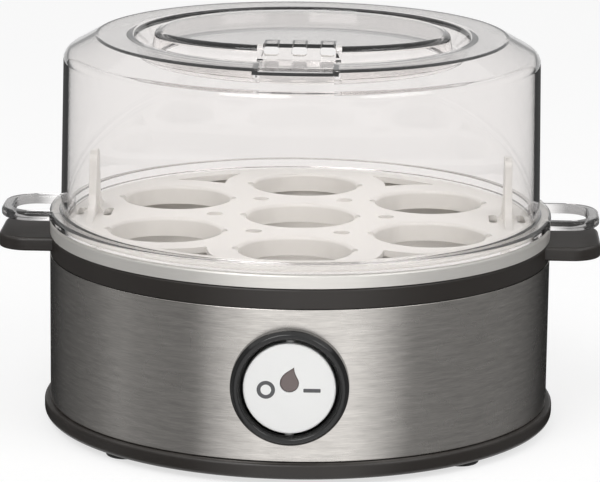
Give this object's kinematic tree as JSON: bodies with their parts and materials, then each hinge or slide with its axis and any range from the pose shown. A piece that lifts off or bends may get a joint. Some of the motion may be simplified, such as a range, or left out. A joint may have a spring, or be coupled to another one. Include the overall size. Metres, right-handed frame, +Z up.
{
  "type": "egg boiler",
  "caption": "Round electric egg steamer: brushed steel base with a push button, a water dish, a white egg tray and a clear domed lid with loop handles.",
  "frame": {"origin": "on the table, under the middle of the body", "axes": "+Z up, the button looks along -Y, +X points to the right-hand lug"},
  "size_m": [0.2216, 0.194, 0.1451],
  "materials": {
    "base_black": "fine satin moulded black",
    "bezel_black": "polished black",
    "foot_rubber": "matt black rubber",
    "band_steel": "stainless, brushed round the body",
    "dish_steel": "stainless, satin",
    "gasket_silicone": "grey silicone",
    "cast_aluminium": "as cast",
    "shield_sheet": "mill finish sheet",
    "element_sheath": "heat darkened sheath",
    "plated_steel": "zinc plated",
    "tinned_brass": "tinned",
    "pale_moulding": "pale heat-proof moulding",
    "lead_cover": "woven glass sleeve",
    "button_white": "satin white",
    "lens_smoke": "smoked window",
    "lamp_glass": "neon lamp",
    "tray_white": "white, slightly glossy",
    "lid_clear": "clear, polished"
  },
  "bodies": {
    "root": {"base_pan": "base_black", "base_screw_1": "plated_steel", "base_screw_2": "plated_steel", "base_screw_3": "plated_steel", "base_screw_4": "plated_steel", "bezel_nut": "base_black", "button_bezel": "bezel_black", "clamp_nut_left": "plated_steel", "clamp_nut_right": "plated_steel", "clamp_screw_left": "plated_steel", "clamp_screw_right": "plated_steel", "cord_clamp": "base_black", "cord_gland": "base_black", "dish_gasket": "gasket_silicone", "earth_lead": "lead_cover", "earth_tag": "tinned_brass", "element_lead": "lead_cover", "element_terminal_left": "tinned_brass", "element_terminal_right": "tinned_brass", "foot_pad_1": "foot_rubber", "foot_pad_2": "foot_rubber", "foot_pad_3": "foot_rubber", "foot_pad_4": "foot_rubber", "fuse_clip": "plated_steel", "fuse_lead": "lead_cover", "heat_shield": "shield_sheet", "heater_clamp": "plated_steel", "heater_plate": "cast_aluminium", "heating_dish": "dish_steel", "heating_element": "element_sheath", "indicator_lamp": "lamp_glass", "live_lead": "lead_cover", "neutral_lead": "lead_cover", "saddle_washer": "base_black", "shield_nut_left": "plated_steel", "shield_nut_right": "plated_steel", "shield_spacer_left": "plated_steel", "shield_spacer_right": "plated_steel", "steel_band": "band_steel", "stud_washer": "plated_steel", "switch_body": "base_black", "switch_lead": "lead_cover", "switch_terminal_left": "tinned_brass", "switch_terminal_right": "tinned_brass", "terminal_block": "pale_moulding", "thermal_fuse": "pale_moulding", "thermostat": "pale_moulding", "upper_ring": "base_black"},
    "tray": {"egg_tray": "tray_white"},
    "lid": {"lid": "lid_clear"},
    "rocker": {"rocker_button": "button_white", "indicator_lens": "lens_smoke"}
  },
  "joints": [
    {"name": "tray_lift", "type": "slide", "parent": "root", "child": "tray", "axis": [0, 0, 1], "range_m": [0, 0.08]},
    {"name": "lid_lift", "type": "slide", "parent": "tray", "child": "lid", "axis": [0, 0, 1], "range_m": [0, 0.1]},
    {"name": "rocker_tilt", "type": "hinge", "parent": "root", "child": "rocker", "pos_m": [0, -0.0919, 0.03555], "axis": [0, 0, 1], "range_deg": [-5, 5]}
  ]
}
